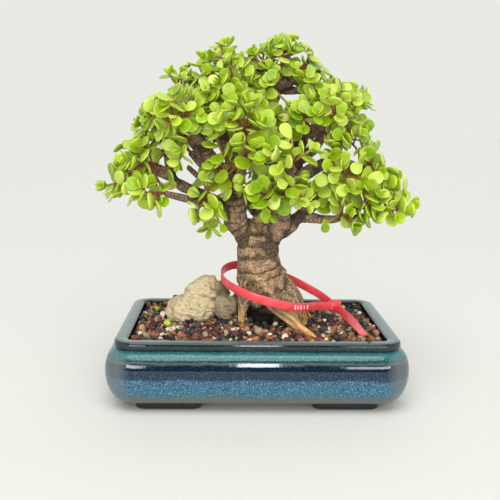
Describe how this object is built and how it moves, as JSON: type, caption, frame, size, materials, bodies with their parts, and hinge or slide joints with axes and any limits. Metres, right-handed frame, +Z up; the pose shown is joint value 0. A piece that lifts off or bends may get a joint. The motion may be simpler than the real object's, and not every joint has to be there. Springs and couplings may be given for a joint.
{
  "type": "potted dwarf jade bonsai",
  "caption": "Miniature succulent tree with round fleshy leaves, flared roots and a ribbed trunk, in a glazed rectangular tray pot with coarse grains, a lava rock and a loose strap tag.",
  "frame": {"origin": "middle of the whole plant's box, on the surface that the pot's feet stand on", "axes": "+Z up the trunk, +X along the pot's long side towards the strap's tail, +Y from the pot's front to its back"},
  "size_m": [0.222, 0.1692, 0.2519],
  "materials": {
    "glaze": "gloss",
    "screen": "matte",
    "soil": "matte",
    "bark": "matte",
    "rock": "matte",
    "strap": "satin",
    "leaf": "satin"
  },
  "bodies": {
    "root": {"pot": "glaze", "drain_screen_left": "screen", "drain_screen_right": "screen", "soil": "soil", "wood": "bark", "rock": "rock", "tag_strap": "strap", "spray_01": "leaf", "spray_02": "leaf", "spray_03": "leaf", "spray_04": "leaf", "spray_05": "leaf", "spray_06": "leaf", "spray_07": "leaf", "spray_08": "leaf", "spray_09": "leaf", "spray_10": "leaf", "spray_11": "leaf", "spray_12": "leaf", "spray_13": "leaf", "spray_14": "leaf", "spray_15": "leaf", "spray_16": "leaf", "spray_17": "leaf", "spray_18": "leaf", "spray_19": "leaf", "spray_20": "leaf", "spray_21": "leaf", "spray_22": "leaf", "spray_23": "leaf", "spray_24": "leaf", "spray_25": "leaf", "spray_26": "leaf", "spray_27": "leaf", "spray_28": "leaf", "spray_29": "leaf", "spray_30": "leaf", "spray_31": "leaf", "spray_32": "leaf", "spray_33": "leaf", "spray_34": "leaf", "spray_35": "leaf", "spray_36": "leaf", "spray_37": "leaf", "spray_38": "leaf", "spray_39": "leaf", "spray_40": "leaf", "spray_41": "leaf", "spray_42": "leaf", "spray_43": "leaf", "spray_44": "leaf", "spray_45": "leaf", "spray_46": "leaf", "spray_47": "leaf", "spray_48": "leaf", "spray_49": "leaf", "spray_50": "leaf", "spray_51": "leaf"}
  },
  "joints": []
}
